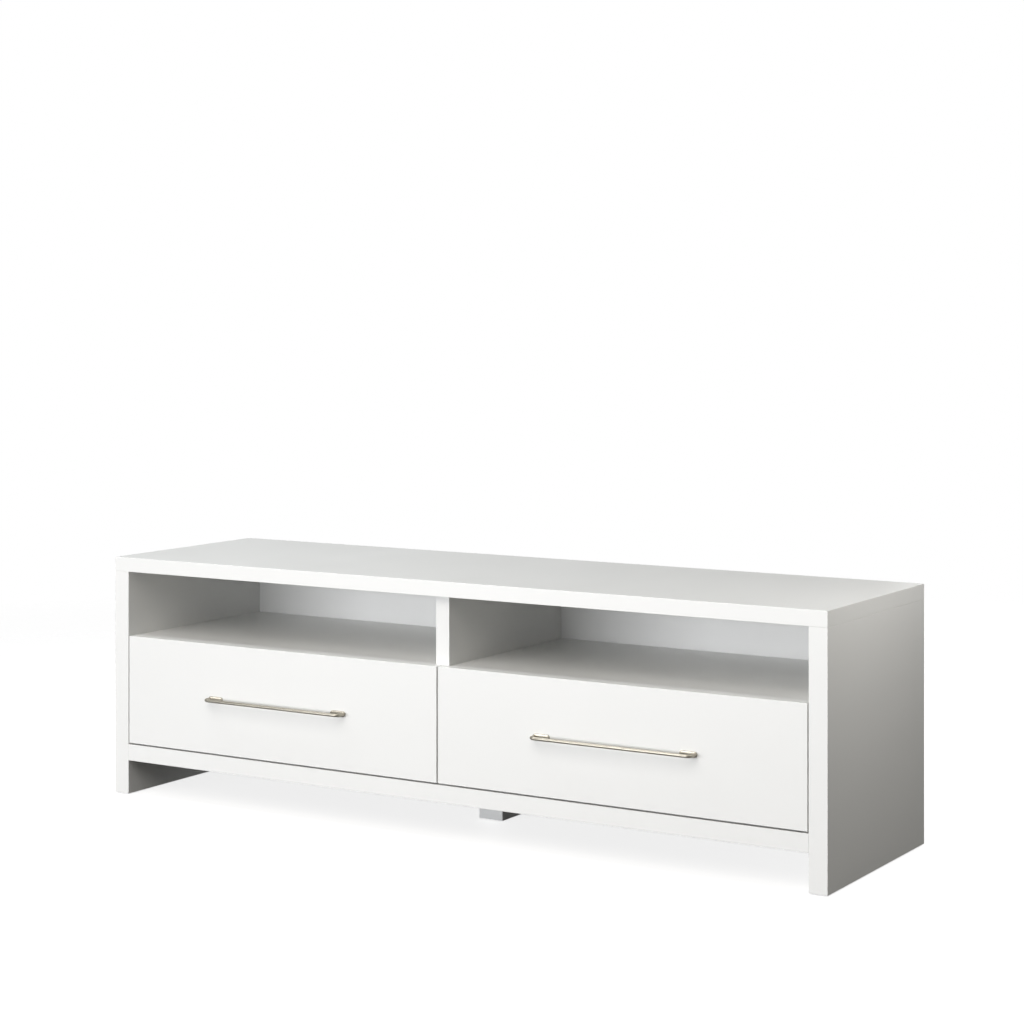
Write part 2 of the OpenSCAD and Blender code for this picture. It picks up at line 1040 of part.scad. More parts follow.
top_panel();
left_side_panel();
right_side_panel();
centre_divider();
left_shelf();
right_shelf();
bottom_panel();
front_rail();
rear_rail();
left_back_panel();
right_back_panel();
centre_foot();
floor_glides();
wood_dowels();
cam_locks();
cam_bolts();
panel_screws();
back_panel_screws();
drawer_bumpers();
left_drawer_left_cabinet_rail();
left_drawer_right_cabinet_rail();
right_drawer_left_cabinet_rail();
right_drawer_right_cabinet_rail();
cabinet_rail_screws();
left_drawer_middle_rails();
right_drawer_middle_rails();
left_drawer_outer_ball_cages();
right_drawer_outer_ball_cages();
left_drawer_outer_balls();
right_drawer_outer_balls();
left_drawer_inner_ball_cages();
right_drawer_inner_ball_cages();
left_drawer_inner_balls();
right_drawer_inner_balls();
left_drawer_front();
left_drawer_left_side();
left_drawer_right_side();
left_drawer_back();
left_drawer_bottom();
left_drawer_handle();
left_drawer_handle_screws();
left_drawer_cam_locks();
left_drawer_cam_bolts();
left_drawer_box_screws();
left_drawer_left_slide_rail();
left_drawer_right_slide_rail();
left_drawer_slide_screws();
right_drawer_front();
right_drawer_left_side();
right_drawer_right_side();
right_drawer_back();
right_drawer_bottom();
right_drawer_handle();
right_drawer_handle_screws();
right_drawer_cam_locks();
right_drawer_cam_bolts();
right_drawer_box_screws();
right_drawer_left_slide_rail();
right_drawer_right_slide_rail();
right_drawer_slide_screws();
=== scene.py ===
import json
import math

import bmesh
import bpy
from mathutils import Matrix, Vector


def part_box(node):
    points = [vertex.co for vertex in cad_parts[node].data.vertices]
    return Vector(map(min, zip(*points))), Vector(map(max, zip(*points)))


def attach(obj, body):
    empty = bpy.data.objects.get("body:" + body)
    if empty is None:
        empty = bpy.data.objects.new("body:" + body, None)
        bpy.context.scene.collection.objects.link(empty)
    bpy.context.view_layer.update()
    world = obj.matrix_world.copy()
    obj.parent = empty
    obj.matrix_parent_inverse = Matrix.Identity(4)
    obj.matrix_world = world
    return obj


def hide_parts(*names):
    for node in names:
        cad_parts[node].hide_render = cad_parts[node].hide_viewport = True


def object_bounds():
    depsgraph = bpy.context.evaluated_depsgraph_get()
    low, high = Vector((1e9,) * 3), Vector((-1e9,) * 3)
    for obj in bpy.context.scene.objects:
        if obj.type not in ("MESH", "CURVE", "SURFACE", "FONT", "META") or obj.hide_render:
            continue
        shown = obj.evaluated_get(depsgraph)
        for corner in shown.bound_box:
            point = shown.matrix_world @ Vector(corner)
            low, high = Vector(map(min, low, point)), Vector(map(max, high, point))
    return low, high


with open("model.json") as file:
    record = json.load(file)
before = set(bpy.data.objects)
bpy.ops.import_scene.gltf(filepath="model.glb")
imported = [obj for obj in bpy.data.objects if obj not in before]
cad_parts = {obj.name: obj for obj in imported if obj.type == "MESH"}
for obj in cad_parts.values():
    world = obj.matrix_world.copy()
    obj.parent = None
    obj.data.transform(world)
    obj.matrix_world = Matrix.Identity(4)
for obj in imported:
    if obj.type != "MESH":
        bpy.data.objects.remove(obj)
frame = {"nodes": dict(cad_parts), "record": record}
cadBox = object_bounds()
nodes = frame["nodes"]
scene = bpy.context.scene
mm = 0.001
weld = 1e-6  # corners closer than this are one corner
past = 1 * mm  # how far a cutting tool reaches past the surface

# camera, lights and floor

cameraSet = {
    "place": (2.2138, -3.5511, 0.9429),
    "turn": 0.5505,  # radians to the left of straight ahead
    "lens": 80.36,
    "shift": -0.2035,
}

lamps = {
    "frontLow": {
        "place": (-1.8, -6.0, 0.8), "size": (5.0, 1.3),
        "watts": 258, "colour": (0.985, 1.0, 1.035),
    },
    "frontHigh": {
        "place": (0.4, -3.6, 3.4), "size": (4.0, 3.0),
        "watts": 128, "colour": (1.03, 1.0, 0.96),
    },
    "topLeft": {
        "place": (-1.0, -0.2, 2.6), "size": (1.6, 1.6),
        "watts": 46, "colour": (0.97, 1.0, 1.03),
    },
    "right": {
        "place": (3.2, -0.4, 2.6), "size": (1.4, 1.2),
        "watts": 16, "colour": (1.0, 1.0, 0.99),
    },
    "endNear": {
        "place": (1.2, -0.05, 0.75), "size": (0.5, 0.2),
        "watts": 1.9, "colour": (1.02, 1.0, 0.96),
    },
    "back": {
        "place": (0.6, 4.0, 0.5), "size": (3.0, 0.8),
        "watts": 38, "colour": (1.0, 1.0, 1.0),
    },
}
aimPoint = Vector((0, 0, 0.25))  # every lamp looks at the middle of the stand

skySet = {
    "fill": 0.03,
    "backdrop": 1.0,
    "colour": (1.0, 0.97, 0.9),
}

floorSet = {
    "radius": 4.2,
    "fadeFrom": 1.5,  # where the floor starts to melt into the backdrop
    "fadeTo": 3.4,
    "colour": (0.42, 0.42, 0.415),
    "darkest": 0.97,  # the darkest specks, over the colour
    "speckSize": 400,
    "speckRough": 0.05,
    "bounce": (0.07, 0.067, 0.06),  # what the floor throws back at the furniture
    "lift": 0.8,  # glow that only the camera sees, so the floor stays pale
    "roughness": 0.6,
}


def makeCamera():
    data = bpy.data.cameras.new("camera")
    data.lens = cameraSet["lens"]
    data.sensor_width = 36
    data.shift_y = cameraSet["shift"]
    data.clip_end = 60
    cam = bpy.data.objects.new("camera", data)
    cam.location = cameraSet["place"]
    cam.rotation_euler = (math.pi / 2, 0, cameraSet["turn"])
    scene.collection.objects.link(cam)
    scene.camera = cam


def makeLamp(name, place, size, watts, colour):
    data = bpy.data.lights.new(name, "AREA")
    data.shape = "RECTANGLE"
    data.size, data.size_y = size
    data.energy = watts
    data.color = colour
    lamp = bpy.data.objects.new(name, data)
    lamp.location = place
    lamp.rotation_euler = (aimPoint - Vector(place)).to_track_quat("-Z", "Y").to_euler()
    scene.collection.objects.link(lamp)


# shader maths: a wrapped socket takes + - * and makes the Math nodes


class Wire:
    def __init__(self, tree, socket):
        self.tree = tree
        self.socket = socket

    def math(self, operation, other):
        return self.tree.add("ShaderNodeMath", {"operation": operation}, {0: self, 1: other})

    def __add__(self, other):
        return self.math("ADD", other)

    __radd__ = __add__

    def __sub__(self, other):
        return self.math("SUBTRACT", other)

    def __mul__(self, other):
        return self.math("MULTIPLY", other)

    def clamp(self):
        return self.tree.add("ShaderNodeClamp", {}, {0: self})


class Tree:
    def __init__(self, nodeTree):
        self.nodeTree = nodeTree
        nodeTree.nodes.clear()

    def add(self, kind, settings, sockets, output=0):
        made = self.nodeTree.nodes.new(kind)
        for key, value in settings.items():
            if key == "stops":
                self.fillRamp(made.color_ramp, value)
            else:
                setattr(made, key, value)
        for key, value in sockets.items():
            self.feed(self.pick(made.inputs, key), value)
        return Wire(self, self.pick(made.outputs, output)) if len(made.outputs) else made

    def pick(self, sockets, key):
        if isinstance(key, int):
            return sockets[key]
        return next(s for s in sockets if s.name == key and s.enabled)

    def fillRamp(self, ramp, stops):
        while len(ramp.elements) < len(stops):
            ramp.elements.new(0.5)
        for element, (place, colour) in zip(ramp.elements, stops):
            element.position = place
            element.color = (*colour, 1)

    def feed(self, socket, value):
        if isinstance(value, Wire):
            self.nodeTree.links.new(value.socket, socket)
        elif hasattr(socket.default_value, "__len__") and not hasattr(value, "__len__"):
            socket.default_value = [value] * len(socket.default_value)
        elif hasattr(value, "__len__") and len(value) == 3 and len(socket.default_value) == 4:
            socket.default_value = (*value, 1)
        else:
            socket.default_value = value

    def objectCoords(self, scale=(1, 1, 1)):
        place = self.add("ShaderNodeTexCoord", {}, {}, "Object")
        return self.add("ShaderNodeMapping", {}, {"Vector": place, "Scale": scale})

    def noise(self, coords, scale, detail=2, rough=0.5):
        sockets = {"Vector": coords, "Scale": scale, "Detail": detail, "Roughness": rough}
        return self.add("ShaderNodeTexNoise", {}, sockets, "Fac")

    def ramp(self, value, stops):
        return self.add("ShaderNodeValToRGB", {"stops": stops}, {"Fac": value}, "Color")

    def mixColour(self, factor, a, b):
        # sockets 6, 7 and output 2 are the colour ones of the Mix node
        return self.add("ShaderNodeMix", {"data_type": "RGBA"}, {0: factor, 6: a, 7: b}, 2)

    def bump(self, height, distance):
        sockets = {"Height": height, "Distance": distance, "Strength": 1}
        return self.add("ShaderNodeBump", {}, sockets)


def newMaterial(name, build):
    material = bpy.data.materials.new(name)
    material.use_nodes = True
    tree = Tree(material.node_tree)
    shader = build(tree)
    tree.add("ShaderNodeOutputMaterial", {}, {"Surface": shader})
    return material


def principled(tree, **sockets):
    named = {key.replace("_", " "): value for key, value in sockets.items()}
    return tree.add("ShaderNodeBsdfPrincipled", {}, named)


# finishes

laminates = {
    "white_laminate": {
        "colour": (0.82, 0.82, 0.803), "shade": (0.80, 0.799, 0.78), "roughness": 0.36,
    },
    "foot_laminate": {
        "colour": (0.80, 0.805, 0.79), "shade": (0.775, 0.775, 0.76), "roughness": 0.42,
    },
    "white_hardboard": {
        "colour": (0.80, 0.80, 0.785), "shade": (0.775, 0.775, 0.757), "roughness": 0.5,
    },
}
laminateSkin = {
    "cloudSize": 2.3,
    "peelSize": 1 / 0.0011,  # one dimple of the lacquer-like skin for each 1.1 mm
    "peelDepth": 0.00004,
    "smearStretch": (9, 3, 30),
    "smearSize": 1.4,
    "smearDepth": 0.1,  # of the roughness
}


def laminate(colour, shade, roughness):
    def build(tree):
        coords = tree.objectCoords()
        cloud = tree.noise(coords, laminateSkin["cloudSize"], 3)
        peel = tree.noise(coords, laminateSkin["peelSize"], 2)
        stretched = tree.objectCoords(laminateSkin["smearStretch"])
        smear = tree.noise(stretched, laminateSkin["smearSize"], 4, 0.6)
        depth = laminateSkin["smearDepth"]
        return principled(
            tree,
            Base_Color=tree.mixColour(cloud, colour, shade),
            Roughness=roughness - depth / 2 + smear * depth,
            Specular_IOR_Level=0.5,
            Normal=tree.bump(peel, laminateSkin["peelDepth"]),
        )

    return build


rawBoardSet = {
    "dark": (0.27, 0.175, 0.10),
    "light": (0.44, 0.315, 0.20),
    "fibreStretch": (1, 1, 1.3),
    "fibreSize": 700,
    "fibreTint": 0.7,
    "patchSize": 6,
    "patchTint": 0.3,
    "roughness": 0.72,
    "fibreRough": 0.16,
    "bump": 0.00012,
}


def hardboardBack(tree):
    stretched = tree.objectCoords(rawBoardSet["fibreStretch"])
    fibre = tree.noise(stretched, rawBoardSet["fibreSize"], 4, 0.7)
    patch = tree.noise(tree.objectCoords(), rawBoardSet["patchSize"], 3)
    tone = fibre * rawBoardSet["fibreTint"] + patch * rawBoardSet["patchTint"]
    stops = [(0.3, rawBoardSet["dark"]), (0.7, rawBoardSet["light"])]
    return principled(
        tree,
        Base_Color=tree.ramp(tone, stops),
        Roughness=rawBoardSet["roughness"] + fibre * rawBoardSet["fibreRough"],
        Normal=tree.bump(fibre, rawBoardSet["bump"]),
    )


# metals, wood and plastic: a fine grain that can be drawn out along one axis, and a soft cloud;
# grainTint, cloudTint, grainRough and cloudRough say how far each shows in colour and roughness

grainSets = {
    "satin_nickel": {
        "light": (0.50, 0.465, 0.395), "dark": (0.36, 0.33, 0.27),
        "stretch": (40, 2600, 2600), "size": 1, "detail": 3, "lumps": 0.6, "cloudSize": 60,
        "grainTint": 0.5, "cloudTint": 0.3,
        "metal": 1.0, "roughness": 0.33, "grainRough": 0.14, "bump": 0.00002,
    },
    "zinc_steel": {
        "light": (0.70, 0.71, 0.72), "dark": (0.52, 0.53, 0.55),
        "stretch": (900, 12, 900), "size": 1, "detail": 3, "lumps": 0.6, "cloudSize": 160,
        "grainTint": 0.3, "cloudTint": 0.6,
        "metal": 1.0, "roughness": 0.26, "grainRough": 0.16, "cloudRough": 0.06, "bump": 0.00002,
    },
    "zinc_screws": {
        "light": (0.74, 0.74, 0.73), "dark": (0.55, 0.55, 0.56),
        "size": 1500, "detail": 3, "lumps": 0.6,
        "metal": 1.0, "roughness": 0.24, "grainRough": 0.2, "bump": 0.00002,
    },
    "cast_zinc": {
        "light": (0.56, 0.56, 0.56), "dark": (0.43, 0.43, 0.44),
        "size": 2200, "detail": 4, "lumps": 0.7, "cloudSize": 90,
        "grainTint": 0, "cloudTint": 1,
        "metal": 0.9, "roughness": 0.42, "grainRough": 0.2, "bump": 0.00006,
    },
    "cage_steel": {
        "light": (0.62, 0.58, 0.48), "dark": (0.46, 0.43, 0.35),
        "stretch": (300, 20, 300), "size": 1, "detail": 3,
        "metal": 1.0, "roughness": 0.34, "grainRough": 0.14, "bump": 0.00002,
    },
    "ball_steel": {
        "light": (0.80, 0.80, 0.80), "dark": (0.68, 0.68, 0.69),
        "size": 900,
        "metal": 1.0, "roughness": 0.10, "grainRough": 0.06,
    },
    "beech": {
        "light": (0.70, 0.52, 0.33), "dark": (0.52, 0.36, 0.21),
        "stretch": (900, 900, 60), "size": 1, "detail": 4, "lumps": 0.6,
        "roughness": 0.6, "grainRough": 0.15, "bump": 0.00005,
    },
    "glide_plastic": {
        "light": (0.30, 0.29, 0.28), "dark": (0.22, 0.215, 0.21),
        "size": 1600,
        "roughness": 0.45, "grainRough": 0.15, "bump": 0.00004,
    },
    "clear_rubber": {
        "light": (0.84, 0.84, 0.82), "dark": (0.74, 0.74, 0.72),
        "size": 800,
        "roughness": 0.22, "grainRough": 0.1, "through": 0.35, "milky": 0.2,
    },
}
plainGrain = {
    "stretch": (1, 1, 1),
    "detail": 2,
    "lumps": 0.5,
    "cloudSize": 0,  # no cloud
    "grainTint": 1,
    "cloudTint": 0,
    "metal": 0.0,
    "cloudRough": 0,
    "bump": 0,
    "through": 0.0,
    "milky": 0.0,
}


def grained(own):
    look = {**plainGrain, **own}

    def build(tree):
        coords = tree.objectCoords(look["stretch"])
        grain = tree.noise(coords, look["size"], look["detail"], look["lumps"])
        tone = grain * look["grainTint"]
        roughness = look["roughness"] + grain * look["grainRough"]
        if look["cloudSize"]:
            cloud = tree.noise(tree.objectCoords(), look["cloudSize"])
            tone = tone + cloud * look["cloudTint"]
            roughness = roughness + cloud * look["cloudRough"]
        sockets = {
            "Base_Color": tree.mixColour(tone, look["light"], look["dark"]),
            "Metallic": look["metal"],
            "Roughness": roughness,
            "Transmission_Weight": look["through"],
            "Subsurface_Weight": look["milky"],
        }
        if look["bump"]:
            sockets["Normal"] = tree.bump(grain, look["bump"])
        return principled(tree, **sockets)

    return build


def floorPaint(tree):
    coords = tree.objectCoords()
    far = tree.add("ShaderNodeVectorMath", {"operation": "LENGTH"}, {0: coords}, "Value")
    span = floorSet["fadeTo"] - floorSet["fadeFrom"]
    fade = ((far - floorSet["fadeFrom"]) * (1 / span)).clamp()
    speck = tree.noise(coords, floorSet["speckSize"])
    darker = tuple(c * floorSet["darkest"] for c in floorSet["colour"])
    tint = tree.mixColour(speck, floorSet["colour"], darker)
    seen = tree.add("ShaderNodeLightPath", {}, {}, "Is Camera Ray")
    tint = tree.mixColour(seen, floorSet["bounce"], tint)
    roughness = floorSet["roughness"] + speck * floorSet["speckRough"]
    paint = principled(tree, Base_Color=tint, Roughness=roughness)
    sockets = {"Color": 1.0, "Strength": seen * floorSet["lift"]}
    lift = tree.add("ShaderNodeEmission", {}, sockets)
    lifted = tree.add("ShaderNodeAddShader", {}, {0: paint, 1: lift})
    clear = tree.add("ShaderNodeBsdfTransparent", {}, {})
    return tree.add("ShaderNodeMixShader", {}, {0: fade, 1: lifted, 2: clear})


def makeFloor():
    mesh = bpy.data.meshes.new("floor")
    ring = bmesh.new()
    bmesh.ops.create_circle(ring, cap_ends=True, segments=96, radius=floorSet["radius"])
    ring.to_mesh(mesh)
    ring.free()
    floor = bpy.data.objects.new("floor", mesh)
    scene.collection.objects.link(floor)
    mesh.materials.append(newMaterial("floorPaint", floorPaint))


def makeWorld():
    world = bpy.data.worlds.new("studio")
    scene.world = world
    world.use_nodes = True
    tree = Tree(world.node_tree)
    seen = tree.add("ShaderNodeLightPath", {}, {}, "Is Camera Ray")
    sockets = {"Color": skySet["colour"], "Strength": skySet["fill"]}
    fill = tree.add("ShaderNodeBackground", {}, sockets)
    sockets = {"Color": 1.0, "Strength": skySet["backdrop"]}
    backdrop = tree.add("ShaderNodeBackground", {}, sockets)
    sky = tree.add("ShaderNodeMixShader", {}, {0: seen, 1: fill, 2: backdrop})
    tree.add("ShaderNodeOutputWorld", {}, {"Surface": sky})


makeCamera()
makeWorld()
makeFloor()
for name, lamp in lamps.items():
    makeLamp(name, **lamp)
scene.view_settings.view_transform = "Standard"
print("camera, floor and lights ready")

builders = {name: laminate(**look) for name, look in laminates.items()}
builders.update({name: grained(look) for name, look in grainSets.items()})
finish = {name: newMaterial(name, build) for name, build in builders.items()}
rawBoard = newMaterial("rawBoard", hardboardBack)
record = frame["record"]
slotOf = {row["node"]: row["material_slot"] for row in record["subparts"]}
bodyOf = {n: body for body, members in record["behaviour"]["bodies"].items() for n in members}
print("finishes ready")


def addPiece(mesh, node, label, materials=None):
    # the new look of one node of the model, in that node's finish if no other is given
    if not materials:
        mesh.materials.clear()
    for material in materials or [finish[slotOf[node]]]:
        mesh.materials.append(material)
    piece = bpy.data.objects.new(node + "_" + label, mesh)
    scene.collection.objects.link(piece)
    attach(piece, bodyOf[node])
    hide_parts(node)


# mesh helpers


def bakedMesh(piece, name):
    depsgraph = bpy.context.evaluated_depsgraph_get()
    mesh = bpy.data.meshes.new_from_object(piece.evaluated_get(depsgraph))
    mesh.name = name
    return mesh


def helperObject(mesh, name="helper"):
    helper = bpy.data.objects.new(name, mesh)
    scene.collection.objects.link(helper)
    return helper


def meshFrom(shape, name):
    bmesh.ops.recalc_face_normals(shape, faces=shape.faces)
    mesh = bpy.data.meshes.new(name)
    shape.to_mesh(mesh)
    shape.free()
    return mesh


def smooth(mesh, angle):
    mesh.polygons.foreach_set("use_smooth", [True] * len(mesh.polygons))
    mesh.set_sharp_from_angle(angle=math.radians(angle))
    return mesh


def quarterTurn(steps):
    return [math.pi / 2 * i / steps for i in range(steps + 1)]


def cutAway(mesh, cutter):
    body = helperObject(mesh)
    tool = helperObject(cutter)
    cut = body.modifiers.new("cut", "BOOLEAN")
    cut.operation = "DIFFERENCE"
    cut.solver = "EXACT"
    cut.object = tool
    result = bakedMesh(body, mesh.name)
    for helper in (body, tool):
        bpy.data.objects.remove(helper)
    return result


def joined(meshes, name):
    shape = bmesh.new()
    for mesh in meshes:
        shape.from_mesh(mesh)
    mesh = bpy.data.meshes.new(name)
    shape.to_mesh(mesh)
    shape.free()
    return mesh


# a lathe: each ring is a radius (a number, or a rule of the angle) and a height


def lathe(rings, sides, name):
    shape = bmesh.new()
    loops = []
    angles = [2 * math.pi * i / sides for i in range(sides)]
    for radius, z in rings:
        if radius == 0:
            loops.append([shape.verts.new((0, 0, z))])
            continue
        radii = [radius(a) if callable(radius) else radius for a in angles]
        around = [(r * math.cos(a), r * math.sin(a), z) for r, a in zip(radii, angles)]
        loops.append([shape.verts.new(spot) for spot in around])
    skin(shape, loops, sides)
    return meshFrom(shape, name)


def skin(shape, loops, sides):
    for low, high in zip(loops, loops[1:]):
        for i in range(sides):
            j = (i + 1) % sides
            around = [low[i % len(low)], low[j % len(low)]]
            around += [high[j % len(high)], high[i % len(high)]]
            around = list(dict.fromkeys(around))
            if len(around) > 2:
                shape.faces.new(around)


def prism(outline, low, high, name, taper=1.0):
    shape = bmesh.new()
    loops = [
        [shape.verts.new((x * k, y * k, z)) for x, y in outline]
        for k, z in ((taper, low), (1.0, high))
    ]
    skin(shape, loops, len(outline))
    shape.faces.new(loops[0])
    shape.faces.new(loops[1])
    return meshFrom(shape, name)


# where the model's fasteners stand: one entry for each loose solid of a node


def solidsOf(name):
    shape = bmesh.new()
    shape.from_mesh(nodes[name].data)
    bmesh.ops.remove_doubles(shape, verts=shape.verts, dist=weld)
    waiting = set(shape.verts)
    found = []
    while waiting:
        group = [waiting.pop()]
        for vert in group:
            for edge in vert.link_edges:
                other = edge.other_vert(vert)
                if other in waiting:
                    waiting.remove(other)
                    group.append(other)
        found.append([v.co.copy() for v in group])
    shape.free()
    return sorted(found, key=lambda points: tuple(round(v, 5) for v in middle(points)))


def corners(points):
    low = Vector([min(p[i] for p in points) for i in range(3)])
    high = Vector([max(p[i] for p in points) for i in range(3)])
    return low, high


def middle(points):
    low, high = corners(points)
    return (low + high) / 2


def along(points, longest=True):
    # the number of the axis on which the solid is longest, or shortest
    low, high = corners(points)
    spans = list(high - low)
    return spans.index(max(spans) if longest else min(spans))


def axisVector(axis, sign=1):
    return Vector([float(sign * (i == axis)) for i in range(3)])


def placed(origin, z, x=None):
    z = Vector(z).normalized()
    x = Vector(x or ((0, 0, 1) if abs(z.z) < 0.9 else (1, 0, 0)))
    x = (x - z * x.dot(z)).normalized()
    turn = Matrix((x, z.cross(x), z)).transposed()
    return Matrix.Translation(origin) @ turn.to_4x4()


def screwPlace(points):
    # the head is at the end where the solid is widest, and the shank points down local Z;
    # also gives the screw's length and the head's diameter
    axis = along(points)
    low, high = corners(points)
    mid = (low + high) / 2
    quarter = (high[axis] - low[axis]) / 4

    def girth(end):
        ring = [p - mid for p in points if abs(p[axis] - end) < quarter]
        return max((p - axisVector(axis) * p[axis]).length for p in ring)

    z = axisVector(axis, 1 if girth(high[axis]) > girth(low[axis]) else -1)
    end = mid + z * (high[axis] - low[axis]) / 2
    return placed(end, z), (high - low)[axis], 2 * max(girth(low[axis]), girth(high[axis]))


# Geometry Nodes: a finished shape set on every point of a host mesh, each with its own turn


def emptyTree(name, inputs):
    group = bpy.data.node_groups.new(name, "GeometryNodeTree")
    tree = Tree(group)
    group.interface.new_socket("Geometry", in_out="INPUT", socket_type="NodeSocketGeometry")
    for label, kind in inputs.items():
        group.interface.new_socket(label, in_out="INPUT", socket_type=kind)
    group.interface.new_socket("Geometry", in_out="OUTPUT", socket_type="NodeSocketGeometry")
    start = group.nodes.new("NodeGroupInput")
    return tree, {socket.name: Wire(tree, socket) for socket in start.outputs if socket.name}


def finishTree(tree, geometry, material):
    real = tree.add("GeometryNodeRealizeInstances", {}, {"Geometry": geometry})
    dressed = tree.add("GeometryNodeSetMaterial", {}, {"Geometry": real, "Material": material})
    tree.add("NodeGroupOutput", {}, {"Geometry": dressed})
    return tree.nodeTree


def storedTurn(tree):
    settings = {"data_type": "FLOAT_VECTOR"}
    stored = tree.add("GeometryNodeInputNamedAttribute", settings, {"Name": "turn"})
    return tree.add("FunctionNodeEulerToRotation", {}, {"Euler": stored})


def placingTree():
    tree, given = emptyTree("setOnPoints", {
        "Shape": "NodeSocketObject",
        "Finish": "NodeSocketMaterial",
        "Largest twist": "NodeSocketFloat",
        "Seed": "NodeSocketInt",
    })
    shape = tree.add("GeometryNodeObjectInfo", {}, {"Object": given["Shape"]}, "Geometry")
    sockets = {"Max": given["Largest twist"], "Seed": given["Seed"]}
    chance = tree.add("FunctionNodeRandomValue", {"data_type": "FLOAT"}, sockets, "Value")
    twist = tree.add("FunctionNodeAxisAngleToRotation", {}, {"Axis": (0, 0, 1), "Angle": chance})
    sockets = {"Rotation": storedTurn(tree), "Rotate By": twist}
    turn = tree.add("FunctionNodeRotateRotation", {"rotation_space": "LOCAL"}, sockets)
    sockets = {"Points": given["Geometry"], "Instance": shape, "Rotation": turn}
    copies = tree.add("GeometryNodeInstanceOnPoints", {}, sockets)
    return finishTree(tree, copies, given["Finish"])


def ballTree():
    tree, given = emptyTree("ballRows", {
        "Diameter": "NodeSocketFloat",
        "Balls in a row": "NodeSocketInt",
        "Step": "NodeSocketFloat",
        "Finish": "NodeSocketMaterial",
    })
    step = tree.add("ShaderNodeCombineXYZ", {}, {"Y": given["Step"]})
    row = tree.add("GeometryNodeMeshLine", {}, {"Count": given["Balls in a row"], "Offset": step})
    sockets = {"Points": given["Geometry"], "Instance": row}
    rows = tree.add("GeometryNodeInstanceOnPoints", {}, sockets)
    spots = tree.add("GeometryNodeRealizeInstances", {}, {"Geometry": rows})
    sockets = {"Radius": given["Diameter"] * 0.5, "Subdivisions": 3}
    ball = tree.add("GeometryNodeMeshIcoSphere", {}, sockets)
    ball = tree.add("GeometryNodeSetShadeSmooth", {}, {"Geometry": ball})
    balls = tree.add("GeometryNodeInstanceOnPoints", {}, {"Points": spots, "Instance": ball})
    return finishTree(tree, balls, given["Finish"])


def grown(group, places, inputs, name):
    mesh = bpy.data.meshes.new(name)
    mesh.from_pydata([tuple(p.to_translation()) for p in places], [], [])
    turns = mesh.attributes.new("turn", "FLOAT_VECTOR", "POINT")
    for i, place in enumerate(places):
        turns.data[i].vector = place.to_euler()
    host = helperObject(mesh, name)
    grow = host.modifiers.new("grow", "NODES")
    grow.node_group = group
    for socket in group.interface.items_tree:
        if socket.in_out == "INPUT" and socket.name in inputs:
            grow[socket.identifier] = inputs[socket.name]
    result = bakedMesh(host, name)
    bpy.data.objects.remove(host)
    if "turn" in result.attributes:
        result.attributes.remove(result.attributes["turn"])
    return result


placing = placingTree()
ballRows = ballTree()


def setShape(shapeMesh, places, finishName, twist=0.0, seed=1):
    shape = helperObject(shapeMesh)
    inputs = {"Shape": shape, "Finish": finish[finishName], "Largest twist": twist, "Seed": seed}
    result = grown(placing, places, inputs, shapeMesh.name)
    bpy.data.objects.remove(shape)
    return result


# boards: the model's shape with its outer edges eased

boardSet = {
    "edge": 0.6 * mm,
    "thinEdge": 0.3 * mm,  # of drawer bottoms and back panels
    "segments": 3,
}
thinBoards = ("drawer_bottom", "back_panel")


def onFaces(point, low, high, reach=1e-5):
    return sum(abs(point[i] - low[i]) < reach or abs(point[i] - high[i]) < reach for i in range(3))


def easedBoard(name, edge):
    shape = bmesh.new()
    shape.from_mesh(nodes[name].data)
    bmesh.ops.remove_doubles(shape, verts=shape.verts, dist=weld)
    flat = math.radians(0.5)
    bmesh.ops.dissolve_limit(shape, angle_limit=flat, verts=shape.verts, edges=shape.edges)
    low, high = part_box(name)
    rim = [
        e for e in shape.edges
        if all(onFaces(v.co, low, high) >= 2 for v in e.verts)
        and onFaces((e.verts[0].co + e.verts[1].co) / 2, low, high) >= 2
        and len(e.link_faces) == 2
    ]
    bmesh.ops.bevel(
        shape, geom=rim, offset=edge, segments=boardSet["segments"], profile=0.5,
        affect="EDGES", clamp_overlap=False, miter_outer="SHARP",
    )
    mesh = bpy.data.meshes.new(name + "_board")
    shape.to_mesh(mesh)
    shape.free()
    smooth(mesh, 40)
    board = helperObject(mesh)
    even = board.modifiers.new("even", "WEIGHTED_NORMAL")
    even.keep_sharp = True
    even.weight = 100
    result = bakedMesh(board, mesh.name)
    bpy.data.objects.remove(board)
    return result


boards = sorted(n for n in nodes if slotOf[n] in laminates)
for name in boards:
    mesh = easedBoard(name, boardSet["thinEdge" if name.endswith(thinBoards) else "edge"])
    mesh.materials.clear()
    looks = [finish[slotOf[name]]]
    if name.endswith("back_panel"):
        # only the front of a back panel is white
        looks.append(rawBoard)
        for face in mesh.polygons:
            face.material_index = 0 if face.normal.y < -0.9 else 1
    addPiece(mesh, name, "board", looks)
print("boards ready:", len(boards))

# handles: one skin from the left foot along the bar to the right foot

handleSet = {
    "bar": 6 * mm,
    "footLength": 32 * mm,
    "footThick": 3.5 * mm,
    "footRim": 0.5 * mm,
    "footBase": 0.25 * mm,
    "footPast": 0.7 * mm,  # how far the foot stands out past the leg
    "bend": 9 * mm,
    "fillet": (0.15 * mm, 1.6 * mm),  # at the outer and the inner side of the leg
    "filletRise": 0.1 * mm,  # above the foot
    "sides": 32,
    "bendSteps": 12,
    "roundSteps": 4,
}


